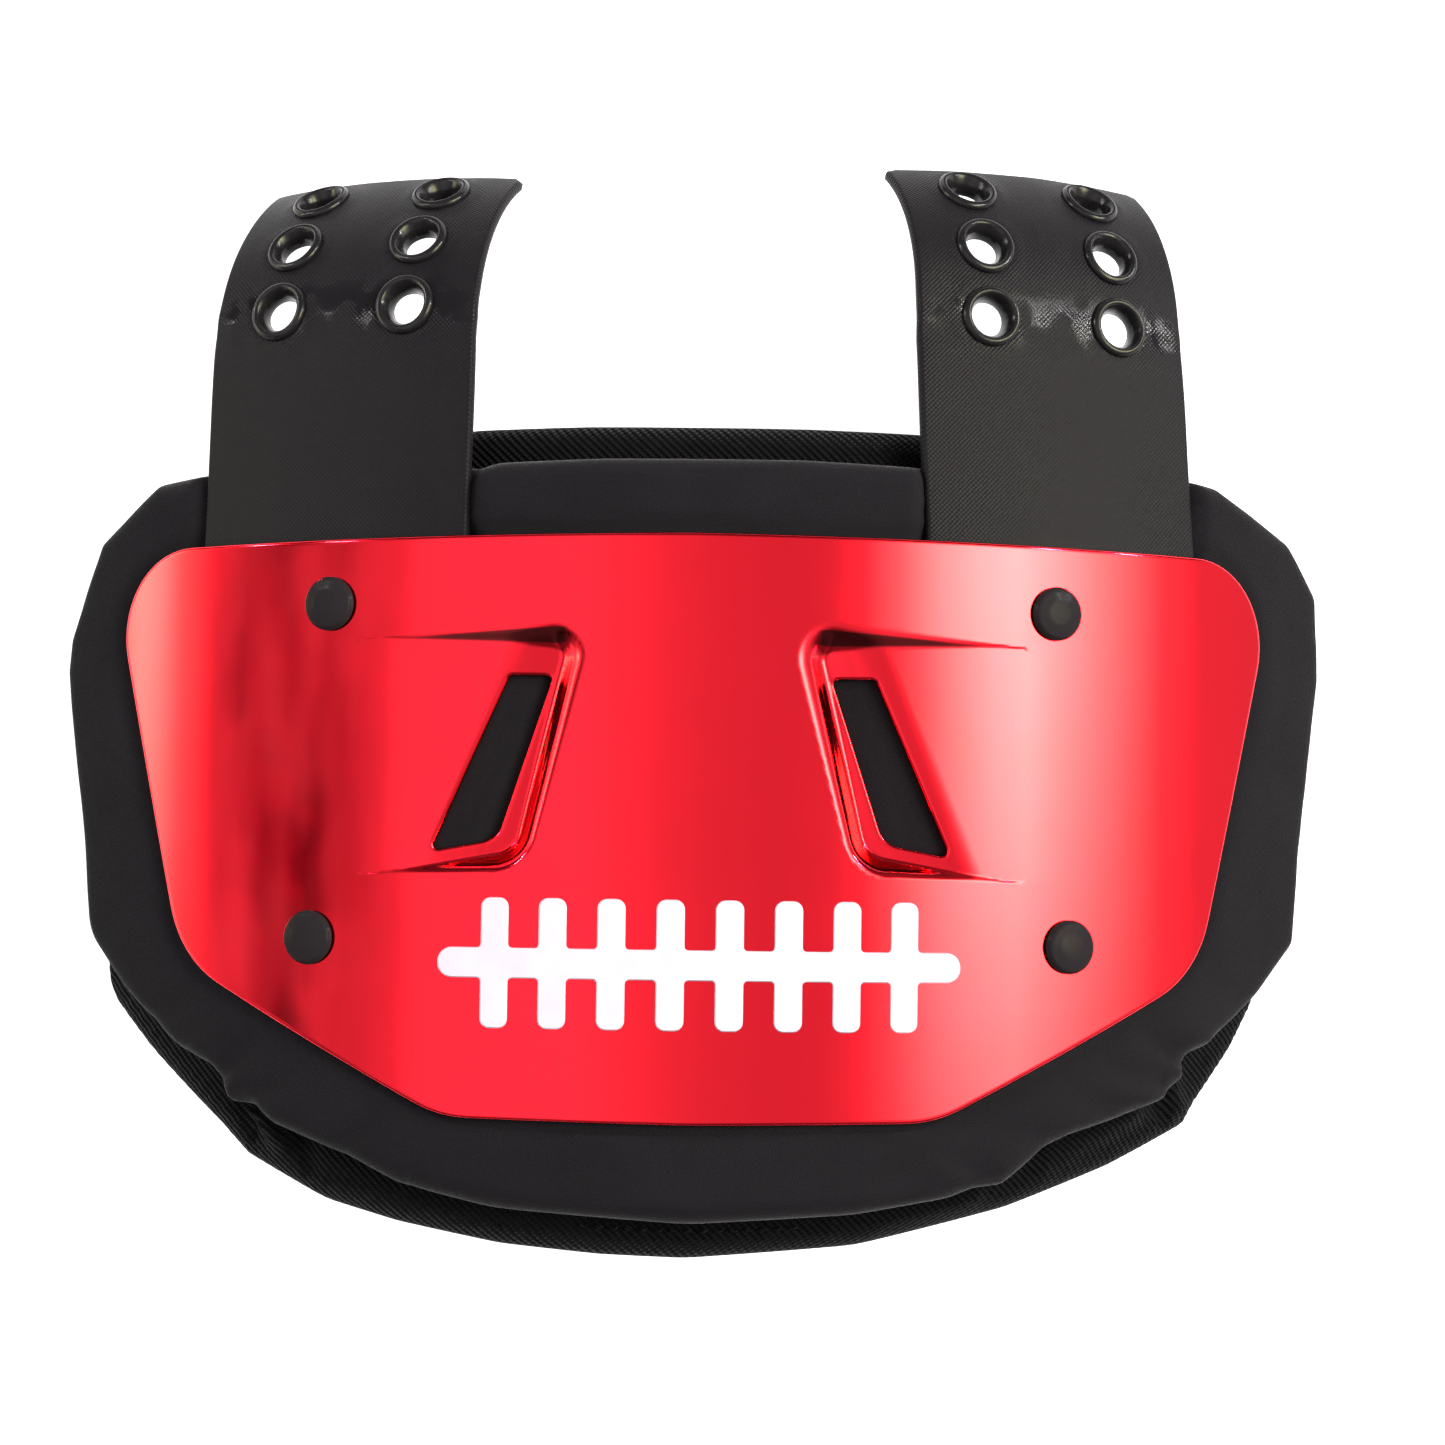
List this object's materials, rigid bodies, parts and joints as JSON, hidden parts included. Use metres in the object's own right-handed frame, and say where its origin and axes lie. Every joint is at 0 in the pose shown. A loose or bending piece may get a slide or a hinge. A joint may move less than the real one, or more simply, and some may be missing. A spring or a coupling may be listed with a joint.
{
  "type": "football back plate",
  "caption": "Curved back plate for football shoulder pads: a vented rigid plate on two foam pads, hung by two perforated straps.",
  "frame": {"origin": "middle of the footprint, on the surface that the part lies on", "axes": "+Z out of the plate's face, away from the wearer; +Y up the wearer's back towards the strap ends; +X to the right seen on the plate's face"},
  "size_m": [0.3086, 0.2626, 0.0784],
  "materials": {
    "red_chrome": "red metallic film on moulded plastic, glossy with soft streaks",
    "black_gloss": "glossy black rivet heads",
    "black_metal": "black enamelled eyelets",
    "coated_webbing": "black coated strap with a fine woven emboss, satin sheen",
    "knit_cover": "smooth black knit cover over foam",
    "ribbed_mesh": "black ribbed mesh cover over foam, matte"
  },
  "bodies": {
    "root": {"back_plate": "red_chrome", "front_pad": "knit_cover", "mesh_pad": "ribbed_mesh", "strap_left": "coated_webbing", "strap_right": "coated_webbing", "eyelet_left_1_1": "black_metal", "eyelet_left_1_2": "black_metal", "eyelet_left_2_1": "black_metal", "eyelet_left_2_2": "black_metal", "eyelet_left_3_1": "black_metal", "eyelet_left_3_2": "black_metal", "eyelet_right_1_1": "black_metal", "eyelet_right_1_2": "black_metal", "eyelet_right_2_1": "black_metal", "eyelet_right_2_2": "black_metal", "eyelet_right_3_1": "black_metal", "eyelet_right_3_2": "black_metal", "rivet_upper_left": "black_gloss", "rivet_upper_right": "black_gloss", "rivet_lower_left": "black_gloss", "rivet_lower_right": "black_gloss"}
  },
  "joints": []
}
